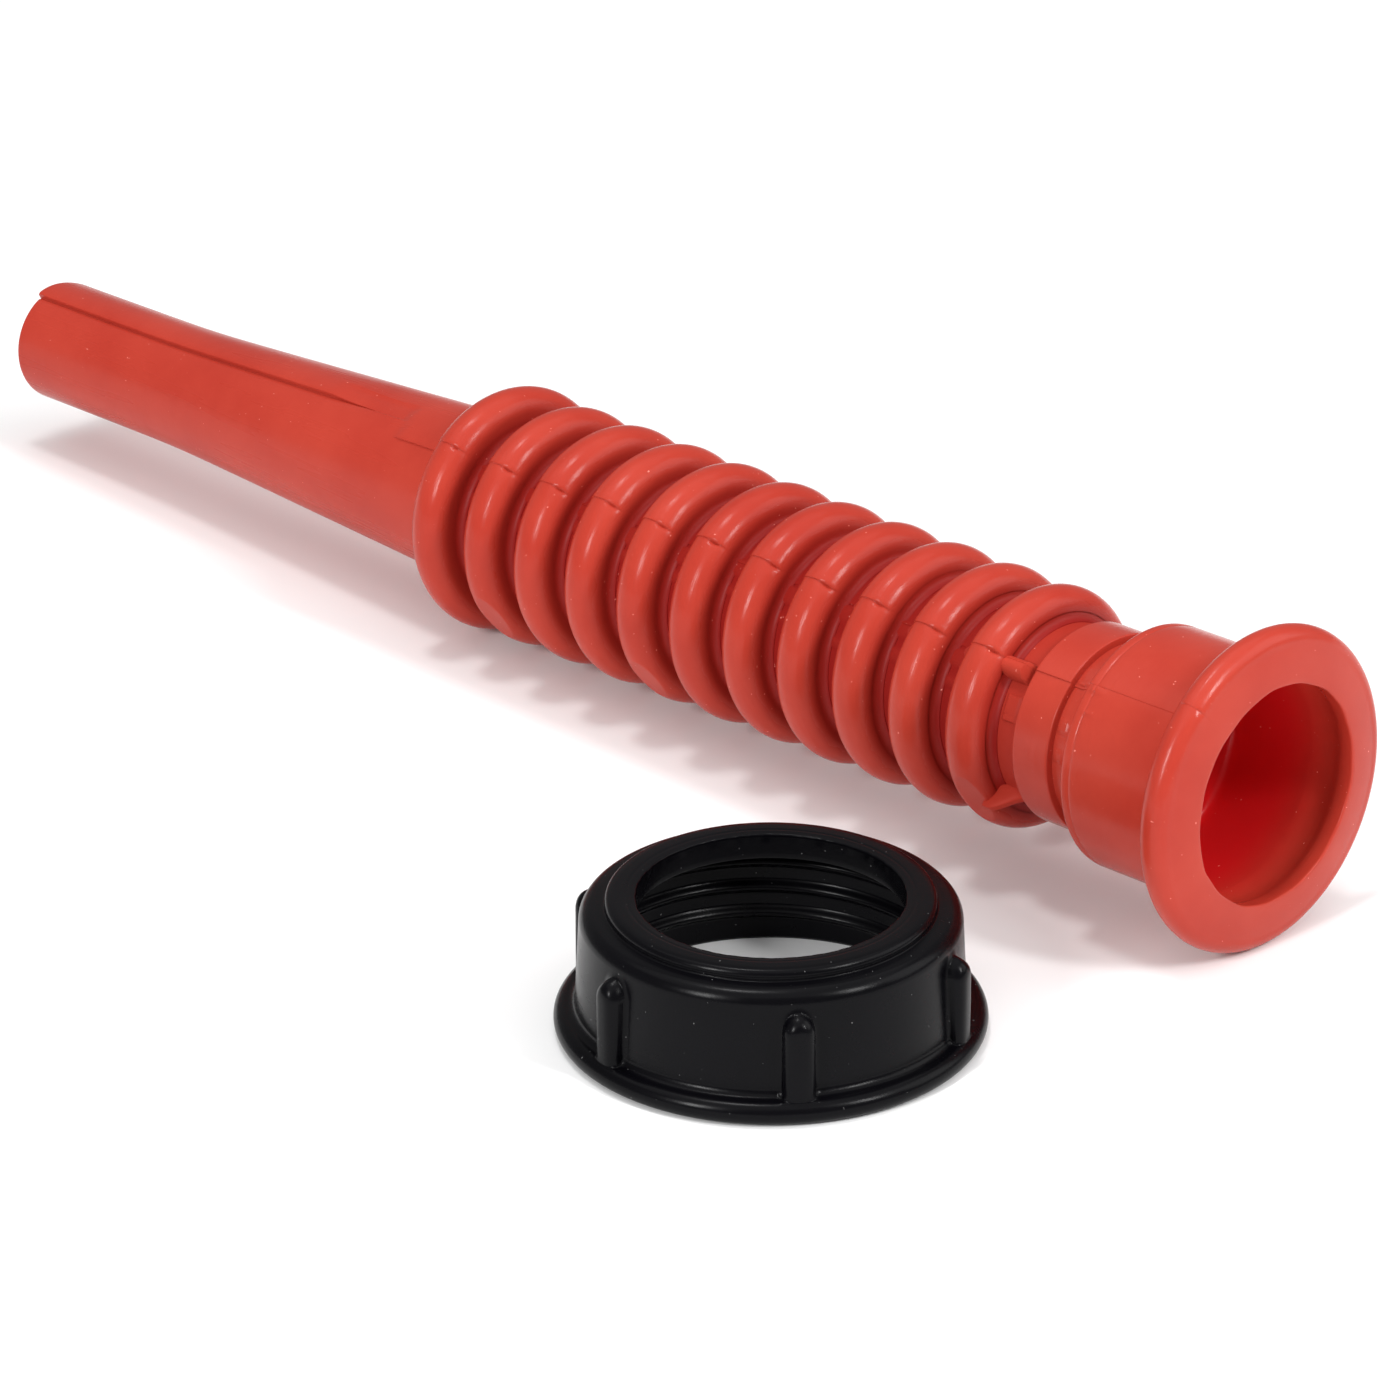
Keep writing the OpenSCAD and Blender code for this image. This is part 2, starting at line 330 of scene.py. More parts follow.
def shape_inlet(z, r, phi):
    """The marks that the mould and the trimming left on the inlet."""
    outer = r > np.where(z < barrel_z1 - 0.5, BORE_R + 0.3, passage_r + 1)
    step = 0.10 * ramp(z, 0, 1) + 0.12 * ramp(z, barrel_z1, BAND_Z)
    # Small pads and ticks that the mould's inserts left.
    for at, half_wide, start, end, height in INLET_PADS:
        raised = height * pad(phi, z, at, r, half_wide, start, end)
        r = r + np.where(outer & (r < barrel_r + 0.5), raised, 0)
    r = r + np.where(outer & (z > 0.1), mismatch(phi, PARTING, 1) * step, 0)
    # A short crack-like nick where the parting line crosses the rim.
    nick = bump(turn(phi, math.radians(PARTING + 0.3)) * flange_r, 0.35) * bump(z - 1.2, 0.8)
    r = r - np.where(r > flange_r - 3, 0.25 * nick, 0)
    # The opening was trimmed by hand, so its edge waves a little.
    edge = np.exp(-((r - mouth_r) / 0.8) ** 2) * ramp(-z, -3, -0.3)
    wave = 0.05 * np.sin(phi * 7 + 1) + 0.04 * np.sin(phi * 17) + 0.12 * bump(turn(phi, 2.0), 0.12)
    return z, r + edge * wave


# ---------------------------------------------------------------- bellows

CREST_SIDES, WEB_SIDES = 190, 150
CREST_SEED, WEB_SEED = 100, 300     # for the marks that differ from crest to crest
FOOT_GAP = 0.1          # how far the crests' feet stand above the webs
LEDGE_H = 0.45          # height of the ledge beside each crest's foot
LEDGE_W = 0.9           # its width along the spout
LEDGE_FILLET = 0.35
CREST_SPREAD = 0.35     # how far a crest's softly drawn sides reach past its arch
FILLET = 1.1            # at a crest's foot, on the inlet's side
INNER_GAP = 0.02        # how far the skins stand off the passage
TAB_LENGTH, TAB_WIDTH = 1.2, 1.7
FLAT_REACH = 24         # degrees each way from a flat's middle that get a fine mesh

# Where a crest was flattened as it left the mould: angle, depth, and lean along the crest.
FLATS = {10: (126, 0.75, 0.3), 7: (128, 0.65, 0.3), 1: (124, 0.8, 0.5)}


def crest_profile(middle, half, top_r, last):
    """A crest's hollow skin, open towards the axis. The last one has no ledge."""
    foot = valley_r + FOOT_GAP
    ring_r = top_r - half
    left, right = middle - half - CREST_SPREAD, middle + half + CREST_SPREAD
    ledge = foot + (0 if last else LEDGE_H)
    width = FILLET if last else LEDGE_W
    inner = half - WALL
    inside = passage_r + INNER_GAP
    return join(
        arc(left - FILLET, foot + FILLET, FILLET, 270, 360, 9),
        line(left, foot + FILLET + 0.2, left, ring_r - 0.2, 3),
        arc(middle, ring_r, half, 180, 0, 34, CREST_SPREAD),
        line(right, ring_r - 0.3, right, ledge + 0.5, 4),
        arc(right + LEDGE_FILLET, ledge + LEDGE_FILLET, LEDGE_FILLET, 180, 270, 4),
        line(right + 0.45, ledge, right + width, ledge, 3),
        line(right + width + 0.08, ledge - 0.1, right + width + 0.1, foot - 0.4, 3),
        line(right, foot - 0.6, right, inside, 2),
        line(right - WALL, inside, middle + inner, ring_r, 3),
        arc(middle, ring_r, inner, 0, 180, 10),
        line(middle - inner, ring_r, left + WALL, inside, 3),
        line(left, inside, left, foot - 0.6, 2),
        line(left - FILLET, foot - 0.4, left - FILLET, foot - 0.05, 2),
    )


def make_crest(i):
    """One crest of the bellows, numbered from the inlet, with the marks on its parting line."""
    z0, z1, _, top_r = crest_spans[i - 1]
    middle, half = (z0 + z1) / 2, (z1 - z0) / 2
    profile = crest_profile(middle, half, top_r, i == CRESTS)
    rng = np.random.default_rng(CREST_SEED + i)
    nick_depth, nick_place = rng.uniform(0.35, 0.6), rng.uniform(0.5, 0.75)
    wobble = rng.uniform(-1.5, 1.5)
    line_at = math.radians(PARTING + wobble)

    def shape(z, r, phi):
        outside = r > valley_r + FOOT_GAP + 0.2
        out = np.clip((r - valley_r) / (top_r - valley_r), 0, 1)
        away = turn(phi, line_at)
        r = r + np.where(outside, mismatch(phi, PARTING + wobble, 0.24), 0) * out
        # A small slot on the inlet's side, on the line, with a lip of flash beside it.
        from_nick = z - (middle - half * nick_place)
        slot = bump(away * top_r - 0.2, 0.4) * bump(from_nick, 1.3)
        flash = bump(away * top_r + 0.35, 0.3) * bump(from_nick, 1.6)
        r = r + np.where(outside, 0.12 * flash - nick_depth * slot, 0)
        # A tab of flash stands out from the ledge on the line.
        ledge = (z > middle + half + CREST_SPREAD + 0.3) & (r > valley_r - FILLET)
        z = z + np.where(ledge, TAB_LENGTH * bump(away * valley_r - 0.4, TAB_WIDTH), 0)
        # The half above the line is a little rough at its edge.
        rough = bump(away * top_r + 0.5, 0.6) * np.sin(z * 9 + i) * 0.05
        r = r + np.where(outside, rough, 0)
        if i in FLATS:
            at, depth, lean = FLATS[i]
            off = turn(phi, math.radians(at))
            plane = (top_r - depth) / np.maximum(np.cos(off), 0.2) + lean * (z - middle) / half
            near = np.abs(off) < math.radians(40)
            r = np.where(near & outside, np.minimum(r, plane), r)
        return z, r

    close = FLATS[i][0] + np.arange(-FLAT_REACH, FLAT_REACH, 0.8) if i in FLATS else ()
    phi = spout_angles(CREST_SIDES, PARTING + wobble, close)

    # Shade painted in the valley: full at the crest's foot, none near its top, and a quarter less
    # on the side towards the nozzle.
    def depth(z, r):
        low = 1 - (r - valley_r) / (top_r - valley_r - 1.2)
        return np.where(z < middle + half * 0.4, low, 0.75 * low)

    piece = lathe(f"crest_skin_{i:02d}", profile, phi, on_spout, shape, 50, depth)
    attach(piece, "nozzle" if i == CRESTS else f"ring_{i:02d}")
    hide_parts(f"crest_{i:02d}")
    return piece


TUCK = 0.9              # how far a web reaches under the pieces at its ends
WEB_ROWS = 22
WEB_PAD_H = 0.25
WEB_PAD_LONG = (1.2, 1.4)               # half a web pad's length, at its top and at its foot
NUB_AT, NUB_WIDTH, NUB_H = 2.5, 1.5, 2.5    # a nub of flash: degrees past the parting line, mm
FIN_AT, FIN_RISE, FIN_LOW = 126, 4.0, 0.6   # a fin of flash: degrees, and height at its ends


def make_web(i):
    """The thin valley before crest i, which reaches a little under the pieces at its two ends."""
    z0, z1, inner, outer = web_spans[i - 1]
    low, high = z0 - TUCK, z1 + TUCK
    rows = np.linspace(low, high, WEB_ROWS)
    profile = join(
        np.stack([rows, np.full(WEB_ROWS, outer)], axis=1),
        np.stack([rows[::-1], np.full(WEB_ROWS, inner + 0.01)], axis=1),
    )
    # Pads on the web: angle, half width, and place along it.
    rng = np.random.default_rng(WEB_SEED + i)
    pads = [
        (PARTING + rng.uniform(2, 10), 1.3, 0.62),
        (PARTING + rng.uniform(14, 26), 0.8, 0.5),
    ]
    if i == 1:
        pads = [(PARTING + 23, 1.5, 0.4), (PARTING + 31, 0.5, 0.4)]

    def shape(z, r, phi):
        outside = r > (inner + outer) / 2
        r = r + np.where(outside, mismatch(phi, PARTING, 0.1), 0)
        for at, wide, place in pads:
            across = np.abs(turn(phi, math.radians(at))) * outer
            along = np.abs(z - (z0 + (z1 - z0) * place))
            raised = (1 - ramp(across, wide - 0.15, wide + 0.1)) * (1 - ramp(along, *WEB_PAD_LONG))
            r = r + np.where(outside, WEB_PAD_H * raised, 0)
        if i == 1:
            # A round nub bridges the valley beside the neck band, on the parting line.
            across = turn(phi, math.radians(PARTING + NUB_AT)) * outer
            nub = np.sqrt(np.clip(1 - (across / NUB_WIDTH) ** 2, 0, 1))
            nub = nub * ramp(z, z0 + 0.7, z0 + 1.5)
            r = r + np.where(outside, NUB_H * nub, 0)
            # A thin fin runs down from the crest to the band, low on the side.
            across = np.abs(turn(phi, math.radians(FIN_AT))) * outer
            crown = outer + FIN_LOW + (FIN_RISE - FIN_LOW) * ramp(z, z0, z1)
            r = r + np.where(outside, (crown - r) * (1 - ramp(across, 0.3, 1.3)), 0)
        return z, r

    # Shade painted in the valley: strong on each web, weaker on the first, which lies open beside
    # the neck band.
    def depth(z, r):
        return (0.35 if i == 1 else 0.95) - 0.5 * (r - outer)

    close = ()
    if i == 1:
        by_fin = np.arange(-4, 4, 0.45) + FIN_AT - PARTING
        close = PARTING + np.concatenate([np.arange(-9, 36, 0.7), by_fin])
    turns = spout_angles(WEB_SIDES, PARTING, close)
    piece = lathe(f"web_skin_{i:02d}", profile, turns, on_spout, shape, depth=depth)
    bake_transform(piece)
    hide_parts(f"web_{i:02d}")
    return piece


# ---------------------------------------------------------------- nozzle

cone_z0, cone_z1, _, root_r = spout_span("nozzle_cone")
tip_z0, tip_z1, tip_bore, tip_r = spout_span("nozzle_tip")
NOZZLE_SIDES = 200
TIP_SOFTNESS = 0.1      # share of the cone's length over which it runs into the straight tip
TIP_ROUND, TIP_INNER_ROUND = 0.45, 0.2
TIP_EDGE = 0.35         # how far the end face slopes back, and its proud part stands out
LONG_STEP = 0.7         # the step at the nozzle's parting line
LINE_GROOVE = 0.3       # the groove beside it
NEAR_STEP = 0.35        # the second, shorter step beside the bellows
PATCH_DEPTH = 0.35


def nozzle_radius(z):
    """A cone that runs smoothly into the straight tip."""
    t = (cone_z1 - z) / (cone_z1 - cone_z0)
    return tip_r + (root_r - tip_r) * (t + np.sqrt(t * t + TIP_SOFTNESS ** 2)) / 2


def make_nozzle():
    """The cone and the straight tip, with finer rows beside the bellows."""
    root = cone_z0 - 1.2
    z = np.concatenate([
        np.linspace(root, cone_z0 + 20, 26),
        np.linspace(cone_z0 + 23, tip_z1 - 1.2, 44),
    ])
    inner_z = np.linspace(tip_z1 - 1, root, 18)
    profile = join(
        np.stack([z, nozzle_radius(z)], axis=1),
        arc(tip_z1 - TIP_ROUND, nozzle_radius(tip_z1) - TIP_ROUND, TIP_ROUND, 90, 0, 6),
        line(tip_z1, tip_r - 0.7, tip_z1, tip_bore + TIP_INNER_ROUND, 3),
        arc(tip_z1 - TIP_INNER_ROUND, tip_bore + TIP_INNER_ROUND, TIP_INNER_ROUND, 360, 270, 3),
        np.stack([inner_z, nozzle_radius(inner_z) - WALL], axis=1),
    )
    phi = spout_angles(NOZZLE_SIDES, NOZZLE_PARTING, PARTING + np.array(STEP_OFFSETS))
    piece = lathe("spout_nozzle", profile, phi, on_spout, shape_nozzle)
    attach(piece, "nozzle")
    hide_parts("nozzle_cone", "nozzle_tip")
    return piece


def shape_nozzle(z, r, phi):
    """The parting line's steps, the patch between them and the tip's trimmed end."""
    outside = r > nozzle_radius(z) - WALL / 2
    # The long step fades out before the bellows, where a second one starts on its own line.
    fade = ramp(z, cone_z0 + 20, cone_z0 + 34)
    step = mismatch(phi, NOZZLE_PARTING, LONG_STEP) * fade
    beside = turn(phi, math.radians(NOZZLE_PARTING + 1)) * tip_r
    step = step - LINE_GROOVE * bump(beside, 0.5) * fade
    near = bump(turn(phi, math.radians(PARTING - 4)) * root_r, 5.0)
    second = np.where(turn(phi, math.radians(PARTING)) < 0, NEAR_STEP, 0) * near
    second = second * (1 - ramp(z, cone_z0 + 13, cone_z0 + 15))
    # A faint sunk patch between the two.
    across = np.abs(turn(phi, math.radians(NOZZLE_PARTING - 7)) * root_r)
    patch = (1 - ramp(across, 1.6, 2.1)) * ramp(z, cone_z0 + 15, cone_z0 + 16)
    patch = patch * (1 - ramp(z, cone_z0 + 30, cone_z0 + 33))
    r = r + np.where(outside, step + second - PATCH_DEPTH * patch, 0)
    # The upper half's end stands a little proud at the line.
    above = turn(phi, math.radians(NOZZLE_PARTING))
    proud = np.where(above < 0, bump(above, 0.7), 0) * ramp(z, tip_z1 - 3, tip_z1)
    return z + TIP_EDGE * proud - TIP_EDGE * ramp(z, tip_z1 - 3, tip_z1), r


# ---------------------------------------------------------------- collar

def collar_span(node):
    """Lowest and highest point and outer radius of a node on the collar's axis, in mm."""
    low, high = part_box(node)
    return low.z / MM, high.z / MM, (high.y - low.y) / 2 / MM


_, collar_h, foot_r = collar_span("collar_shell")
collar_mouth_r = mounts["collar_mouth"]["dims"]["r_mm"]
top_t = mounts["collar_mouth"]["dims"]["length_mm"]
COLLAR_SIDES = 240
WALL_R, SHOULDER_R, SKIRT_R, LIP_R = 27.5, 26.9, 25.75, 23.3
WALL_Z, SHOULDER_Z = 5.2, collar_h - 1.6
SHOULDER_ROUND = 2.2
LIP_ROUND, LIP_FILLET = 0.95, 0.17
MOUTH_EDGE_ROUND = 0.25
SKIRT_ROUND = 0.8       # where the skirt meets the underside of the top
FOOT_ROUND = 1.7
FOOT_FILLET = 1.2       # between the foot and the wall
GROOVE_LINE_R = collar_mouth_r + 1.35   # a fine turned line on the lip

RIBS, RIB_ANGLE = 6, -37
RIB_R, RIB_TOP, RIB_OUT = 2.25, 15.8, 29.55
RIB_START = 3.0         # height where the ribs rise out of the foot
RIB_DOME = 2.8          # length of a rib's rounded end
RIB_FILLET_H, RIB_FILLET_W = 0.25, 0.4  # the fillet beside a rib, its width in rib radii
SWELL, FLANK, DOME_FLANK = 2.6, 0.4, 0.15   # powers of a rib's rounded section
rib_angles = [RIB_ANGLE + k * 360 / RIBS for k in range(RIBS)]

THREAD_PITCH, THREAD_Z, THREAD_DEPTH, THREAD_TURNS = 4.1, 3.0, 0.95, 2.6
THREAD_HALF_W = 1.25
THREAD_FADE = 0.12      # turns over which the thread rises at its ends


def wall_line():
    """The wall's sloping side, with more points where the ribs' round tops begin."""
    top = SHOULDER_Z - SHOULDER_ROUND
    z = np.concatenate([np.linspace(WALL_Z, 12.4, 12), np.linspace(12.55, top - 0.05, 30)])
    r = WALL_R + (SHOULDER_R - WALL_R) * (z - WALL_Z) / (top - WALL_Z)
    return np.stack([z, r], axis=1)


def make_collar():
    """The collar's outside from the foot up, over the lip, and down through the skirt."""
    under = collar_h - top_t
    profile = join(
        line(0, SKIRT_R + 0.4, 0, foot_r - FOOT_ROUND - 0.1, 5),
        arc(FOOT_ROUND, foot_r - FOOT_ROUND, FOOT_ROUND, 180, 0, 22),
        arc(2 * FOOT_ROUND + FOOT_FILLET, WALL_R + FOOT_FILLET, FOOT_FILLET, 180, 270, 10),
        wall_line(),
        arc(SHOULDER_Z - SHOULDER_ROUND, SHOULDER_R - SHOULDER_ROUND, SHOULDER_ROUND, 90, 14, 30),
        line(SHOULDER_Z - 0.06, LIP_R + 0.85, SHOULDER_Z + 0.02, LIP_R + 0.25, 3),
        arc(SHOULDER_Z + 0.2, LIP_R + LIP_FILLET, LIP_FILLET, 180, 270, 3),
        line(SHOULDER_Z + 0.3, LIP_R, collar_h - 1.0, LIP_R - 0.05, 3),
        arc(collar_h - LIP_ROUND, LIP_R - 1.0, LIP_ROUND, 90, 20, 9),
        line(collar_h - 0.02, LIP_R - 1.5, collar_h, GROOVE_LINE_R + 0.35, 5),
        line(collar_h - 0.02, GROOVE_LINE_R + 0.15, collar_h - 0.07, GROOVE_LINE_R, 2),
        line(collar_h - 0.03, GROOVE_LINE_R - 0.15, collar_h - 0.1, collar_mouth_r + 0.3, 4),
        arc(collar_h - 0.35, collar_mouth_r + MOUTH_EDGE_ROUND, MOUTH_EDGE_ROUND, 360, 270, 4),
        line(collar_h - 0.6, collar_mouth_r, under + 0.3, collar_mouth_r + 0.05, 6),
        line(under, collar_mouth_r + 0.2, under, SKIRT_R - SKIRT_ROUND, 5),
        arc(under - SKIRT_ROUND, SKIRT_R - SKIRT_ROUND, SKIRT_ROUND, 0, 90, 5),
        line(under - 1.1, SKIRT_R, 0.5, SKIRT_R, 70),
        line(0.4, SKIRT_R + 0.05, 0.1, SKIRT_R + 0.3, 3),
    )
    phi = angles(COLLAR_SIDES, rib_angles, np.arange(-7.2, 7.3, 0.18))
    piece = lathe("screw_collar", profile, phi, on_collar, shape_collar, 60)
    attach(piece, "collar")
    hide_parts("collar_shell", "collar_grip_ribs", "collar_thread")
    return piece


def shape_collar(z, r, phi):
    """Raises the ribs and the thread, and trims the opening's edge."""
    inner_wall = (r < SKIRT_R + 0.02) & (r > SKIRT_R - 0.02)
    outer = r > SKIRT_R + 0.4
    rise = (z > RIB_START) & (z < SHOULDER_Z - 0.3) & (r < RIB_OUT)
    for at in rib_angles:
        across = turn(phi, math.radians(at)) * WALL_R / RIB_R
        along = np.clip((z - RIB_TOP + RIB_DOME) / RIB_DOME, 0, 2)
        off = np.hypot(across, along)
        # Steep flanks and a gentler end, which both round into the crown.
        power = FLANK + DOME_FLANK * ramp(along, 0, 0.8)
        swell = (1 - np.clip(off, 0, 1) ** SWELL) ** power
        beside = np.clip(1 + RIB_FILLET_W - off, 0, RIB_FILLET_W) / RIB_FILLET_W
        root = r + RIB_FILLET_H * beside ** 2
        raised = root + (RIB_OUT - root) * swell
        r = np.where(outer & rise, np.maximum(r, raised), r)
    # The thread's ridge, which fades in and out at its ends.
    part = (phi % FULL_TURN) / FULL_TURN
    turns = (z - THREAD_Z) / THREAD_PITCH - part
    lap = np.clip(np.round(turns), 0, math.floor(THREAD_TURNS))
    count = lap + part
    fade = ramp(count, 0, THREAD_FADE)
    fade = fade * (1 - ramp(count, THREAD_TURNS - THREAD_FADE, THREAD_TURNS))
    ridge = 1 - ramp(np.abs(turns - lap) * THREAD_PITCH, 0, THREAD_HALF_W)
    r = np.where(inner_wall, r - THREAD_DEPTH * ridge * fade, r)
    # The opening's edge is slightly ragged, as trimmed plastic is.
    edge = (np.abs(r - collar_mouth_r) < 0.4) & (z > collar_h - 1)
    rag = 0.05 * np.sin(phi * 23) * np.sin(phi * 9 + 2) + 0.03 * np.sin(phi * 61)
    return z, r + np.where(edge, rag, 0)


# ---------------------------------------------------------------- materials

POLYETHYLENE_IOR = 1.5
CLOUDS, FLOW, GRAIN, DUST = 45, 60, 1400, 1700      # noise scales, in features a metre
DUST_SHARE = (0.78, 0.80)       # the noise's heights where a speck starts and is whole
ALONG_SPOUT = (0.25, 6, 6)      # stretches of the noise, for streaks that run that way
ROUND_SPOUT = (28, 4, 4)

# The Mix node's two inputs and its output, for each kind of value.
MIX_SOCKETS = {"FLOAT": (2, 3, 0), "RGBA": (6, 7, 2)}


def node(tree, kind, **values):
    """A new node, with each value set on the input or the property of that name."""
    made = tree.nodes.new(kind)
    for key, value in values.items():
        if key in made.inputs:
            made.inputs[key].default_value = value
        else:
            setattr(made, key, value)
    return made


def noise(tree, coords, scale, detail=3, stretch=(1, 1, 1)):
    """Noise in metres of the piece's own space. Its streaks run where stretch is smallest."""
    mapping = node(tree, "ShaderNodeMapping", Scale=stretch)
    made = node(tree, "ShaderNodeTexNoise", Scale=scale, Detail=detail, Roughness=0.6)
    tree.links.new(coords, mapping.inputs["Vector"])
    tree.links.new(mapping.outputs["Vector"], made.inputs["Vector"])
    return made.outputs["Fac"]


def scaled(tree, value, low, high, from_low=0.3, from_high=0.7):
    """The value carried from one range to another. Noise lies mostly in the first one."""
    made = node(tree, "ShaderNodeMapRange")
    numbers = {"From Min": from_low, "From Max": from_high, "To Min": low, "To Max": high}
    for key, number in numbers.items():
        made.inputs[key].default_value = number
    tree.links.new(value, made.inputs["Value"])
    return made.outputs["Result"]


def mixed(tree, factor, first, second, kind="RGBA"):
    """first at factor 0 and second at 1. Each is a node's output or a plain value."""
    made = node(tree, "ShaderNodeMix", data_type=kind)
    at_0, at_1, out = MIX_SOCKETS[kind]
    tree.links.new(factor, made.inputs[0])
    for socket, value in ((at_0, first), (at_1, second)):
        if isinstance(value, bpy.types.NodeSocket):
            tree.links.new(value, made.inputs[socket])
        else:
            made.inputs[socket].default_value = value
    return made.outputs[out]


def plastic(name, colours, specks, rough, deep_rough, specular, grain, streaks):
    """Moulded polyethylene: uneven colour, painted shade and glow deep in hollows, streaks and
    fine grain.

    colours are its dark and light tone and the colour painted deep in hollows (painted shade in
    the valleys, a painted red glow in the bore). rough is the surface's roughness and deep_rough
    the valleys'. grain and streaks are bump strengths.
    """
    dark, light, deep = colours
    material = bpy.data.materials.new(name)
    material.use_nodes = True
    tree = material.node_tree
    shader = tree.nodes["Principled BSDF"]
    coords = node(tree, "ShaderNodeTexCoord").outputs["Object"]
    valley = node(tree, "ShaderNodeAttribute", attribute_name="depth").outputs["Fac"]

    colour = mixed(tree, scaled(tree, noise(tree, coords, CLOUDS, 4), 0, 1), dark, light)
    # Painted shade deep in the valleys, and a painted red glow deep in the inlet's bore, mixed in
    # by the depth attribute.
    colour = mixed(tree, scaled(tree, valley, 0, 0.85, 0.0, 1.0), colour, deep)
    dust = scaled(tree, noise(tree, coords, DUST, 1), 0, 1, *DUST_SHARE)
    colour = mixed(tree, dust, colour, specks)
    tree.links.new(colour, shader.inputs["Base Color"])

    flow = noise(tree, coords, FLOW, 2, ALONG_SPOUT)
    drawn = noise(tree, coords, FLOW, 2, ROUND_SPOUT)
    fine = noise(tree, coords, GRAIN, 3)
    satin = scaled(tree, flow, rough - 0.02, rough + 0.03)
    roughness = mixed(tree, valley, satin, deep_rough, "FLOAT")
    tree.links.new(roughness, shader.inputs["Roughness"])

    normal = None
    bumps = ((flow, 0.015, 0.0002), (drawn, streaks, 0.00008), (fine, grain, 0.00005))
    for height, strength, distance in bumps:
        layer = node(tree, "ShaderNodeBump", Strength=strength, Distance=distance)
        tree.links.new(height, layer.inputs["Height"])
        if normal:
            tree.links.new(normal, layer.inputs["Normal"])
        normal = layer.outputs["Normal"]
    tree.links.new(normal, shader.inputs["Normal"])
    shader.inputs["IOR"].default_value = POLYETHYLENE_IOR
    shader.inputs["Specular IOR Level"].default_value = specular
    return material


RED_DARK = (0.42, 0.035, 0.021, 1)
RED_LIGHT = (0.49, 0.050, 0.030, 1)
# Painted shade for the valleys between the crests.
RED_PAINTED_SHADE = (0.22, 0.003, 0.004, 1)
RED_GLOW = (0.72, 0.008, 0.014, 1)
PALE_RED = (0.85, 0.25, 0.2, 1)
BLACK_DARK = (0.0013, 0.0012, 0.0019, 1)
BLACK_LIGHT = (0.0024, 0.0022, 0.0033, 1)
# Painted shade for valleys, as with the reds.
BLACK_PAINTED_SHADE = (0.0015, 0.0015, 0.002, 1)
PALE_GREY = (0.12, 0.12, 0.12, 1)
REDS = (RED_DARK, RED_LIGHT, RED_PAINTED_SHADE)
GLOWING_REDS = (RED_DARK, RED_LIGHT, RED_GLOW)      # the bore glows with reflected red
BLACKS = (BLACK_DARK, BLACK_LIGHT, BLACK_PAINTED_SHADE)

# ---------------------------------------------------------------- build

spout_pieces = [make_inlet(), make_nozzle()]
spout_pieces += [make_crest(i) for i in range(1, CRESTS + 1)]
spout_pieces += [make_web(i) for i in range(1, CRESTS + 1)]
collar_piece = make_collar()

satin_red = plastic(
    "satin_red_polyethylene", REDS, PALE_RED,
    rough=0.28, deep_rough=0.26, specular=0.13, grain=0.3, streaks=0.1,
)
inlet_red = plastic(
    "inlet_red_polyethylene", GLOWING_REDS, PALE_RED,
    rough=0.23, deep_rough=0.22, specular=0.18, grain=0.3, streaks=0.35,
)
glossy_red = plastic(
    "glossy_red_polyethylene", REDS, PALE_RED,
    rough=0.23, deep_rough=0.45, specular=0.15, grain=0.25, streaks=0.55,
)
valley_red = plastic(
    "valley_red_polyethylene", REDS, PALE_RED,
    rough=0.4, deep_rough=0.5, specular=0.06, grain=0.25, streaks=0.2,
)
black = plastic(
    "black_polyethylene", BLACKS, PALE_GREY,
    rough=0.25, deep_rough=0.3, specular=0.1, grain=0.25, streaks=0.0,
)
RED_PLASTICS = {"spout_inlet": inlet_red, "spout_nozzle": satin_red}
for piece in spout_pieces:
    bellows_red = valley_red if piece.name.startswith("web_") else glossy_red
    piece.data.materials.append(RED_PLASTICS.get(piece.name, bellows_red))
collar_piece.data.materials.append(black)

# ---------------------------------------------------------------- floor, lights and camera

FLOOR_HALF = 6          # metres
WORLD_STRENGTH = 0.3


def make_floor():
    mesh = bpy.data.meshes.new("floor")
    h = FLOOR_HALF
    corners = [(-h, -h, 0), (h, -h, 0), (h, h, 0), (-h, h, 0)]
    mesh.from_pydata(corners, [], [(0, 1, 2, 3)])
    floor = bpy.data.objects.new("floor", mesh)
    bpy.context.scene.collection.objects.link(floor)
    material = bpy.data.materials.new("pale_floor")
    material.use_nodes = True
    shader = material.node_tree.nodes["Principled BSDF"]
    shader.inputs["Base Color"].default_value = (0.96, 0.96, 0.96, 1)
    shader.inputs["Roughness"].default_value = 0.9
    shader.inputs["Specular IOR Level"].default_value = 0.0
    mesh.materials.append(material)


centre = (cad_low + cad_high) / 2


def direction(azimuth, elevation):
    """From the object towards a place. Azimuth 0 is on the -Y side and 90 on the +X side."""
    a, e = math.radians(azimuth), math.radians(elevation)
    return Vector((math.sin(a) * math.cos(e), -math.cos(a) * math.cos(e), math.sin(e)))


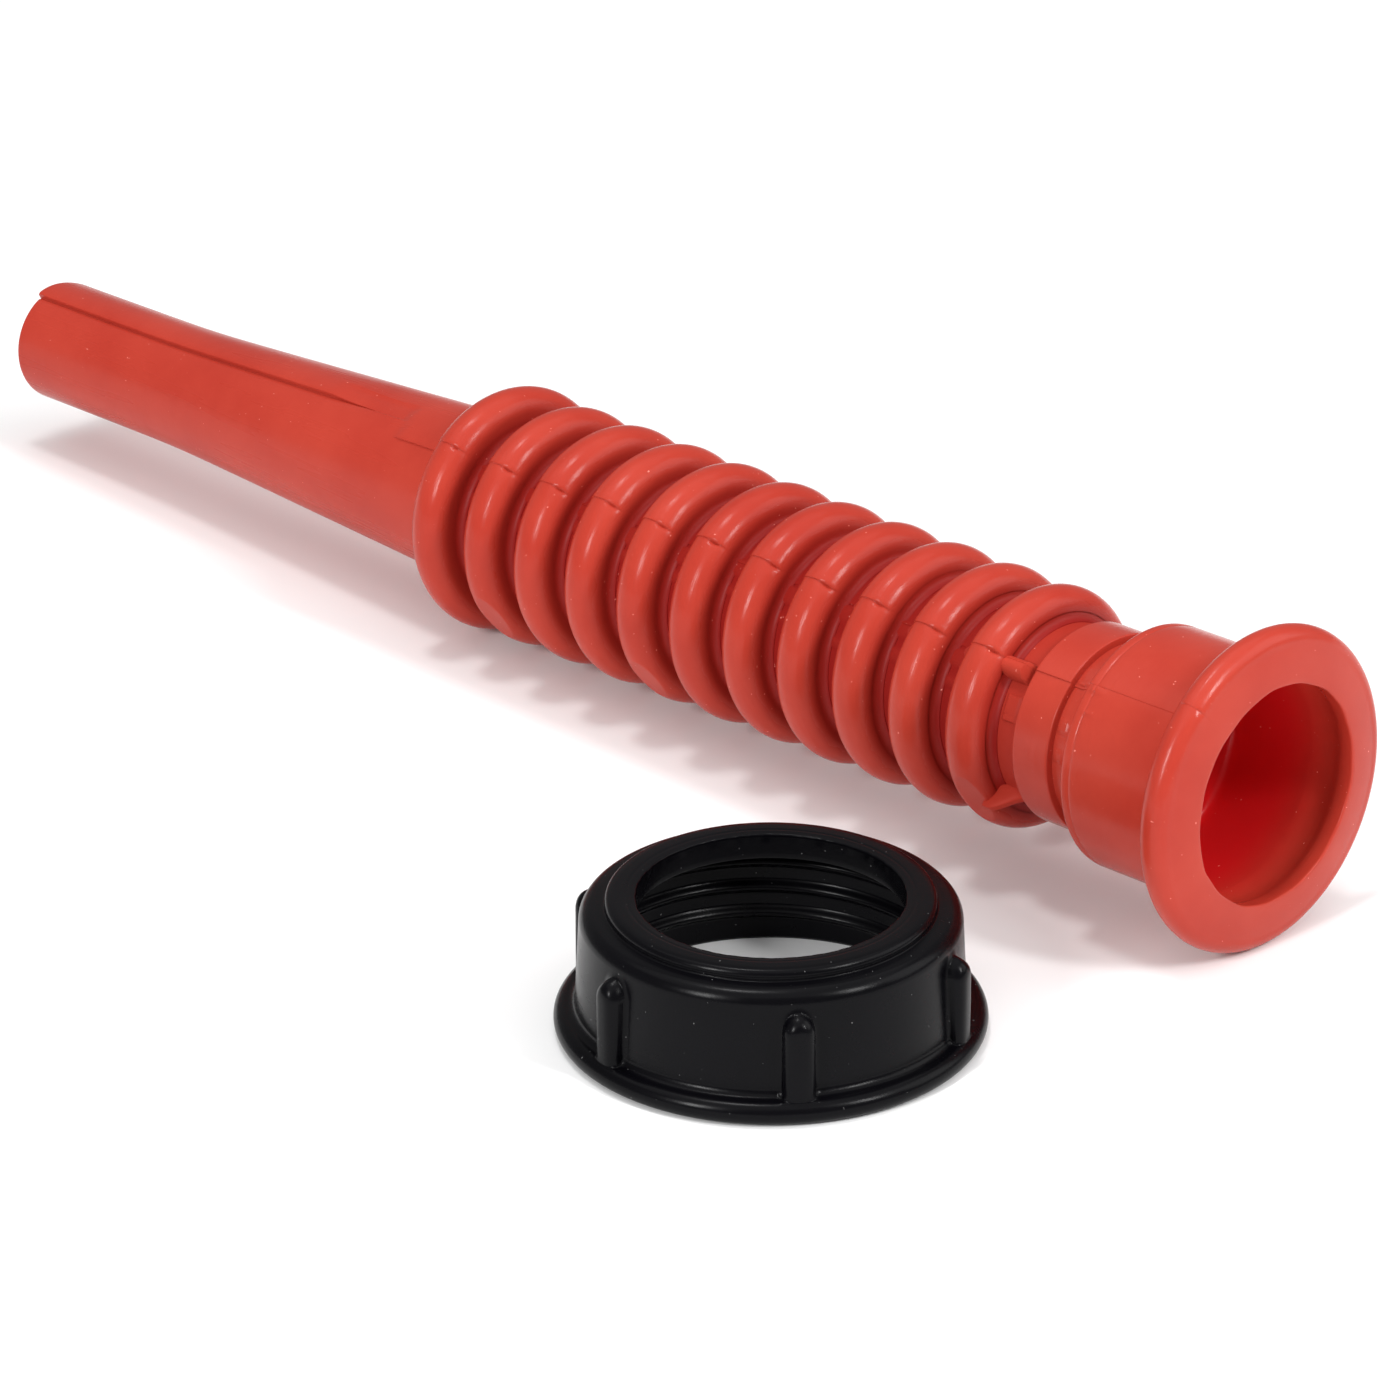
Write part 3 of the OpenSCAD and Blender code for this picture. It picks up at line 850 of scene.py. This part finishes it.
def softbox(name, azimuth, elevation, distance, width, height, power):
    """A soft rectangular light that faces the object's middle."""
    light = bpy.data.lights.new(name, "AREA")
    light.shape = "RECTANGLE"
    light.size, light.size_y = width, height
    light.energy = power
    lamp = bpy.data.objects.new(name, light)
    way = direction(azimuth, elevation)
    lamp.location = centre + way * distance
    lamp.rotation_euler = way.to_track_quat("Z", "Y").to_euler()
    bpy.context.scene.collection.objects.link(lamp)


def make_world():
    world = bpy.data.worlds.new("studio")
    world.use_nodes = True
    back = world.node_tree.nodes["Background"]
    back.inputs["Color"].default_value = (1, 1, 1, 1)
    back.inputs["Strength"].default_value = WORLD_STRENGTH
    bpy.context.scene.world = world


# The camera's place in metres and aim in degrees in the row frame, and its lens in mm.
CAMERA_AT = Vector((0.63056, -0.55698, 0.39969))
CAMERA_AZIMUTH, CAMERA_ELEVATION, CAMERA_ROLL = 45.819, 25.118, -0.278
LENS, SENSOR = 154.29, 36
CLIP_START, CLIP_END = 0.01, 50

# Azimuth and elevation in degrees, distance, width and height in metres, and power in watts.
SOFTBOXES = {
    "front": (10, 28, 1.1, 0.12, 0.34, 6.2),
    "side": (98, 36, 1.1, 0.12, 0.30, 4.4),
    "top": (-60, 84, 1.3, 0.2, 0.2, 3.5),
    "overhead": (60, 84, 1.5, 2.4, 2.4, 14),
    "fill": (135, 30, 1.3, 0.8, 0.8, 4.0),
}


def make_camera():
    camera = bpy.data.cameras.new("camera")
    camera.lens, camera.sensor_width = LENS, SENSOR
    camera.clip_start, camera.clip_end = CLIP_START, CLIP_END
    holder = bpy.data.objects.new("camera", camera)
    back = direction(CAMERA_AZIMUTH, CAMERA_ELEVATION)
    aim = back.to_track_quat("Z", "Y").to_matrix()
    roll = Matrix.Rotation(math.radians(CAMERA_ROLL), 3, "Z")
    holder.matrix_world = Matrix.Translation(CAMERA_AT) @ (aim @ roll).to_4x4()
    bpy.context.scene.collection.objects.link(holder)
    bpy.context.scene.camera = holder


make_floor()
make_world()
for name, setting in SOFTBOXES.items():
    softbox(name, *setting)
make_camera()
bpy.context.scene.view_settings.view_transform = "Standard"
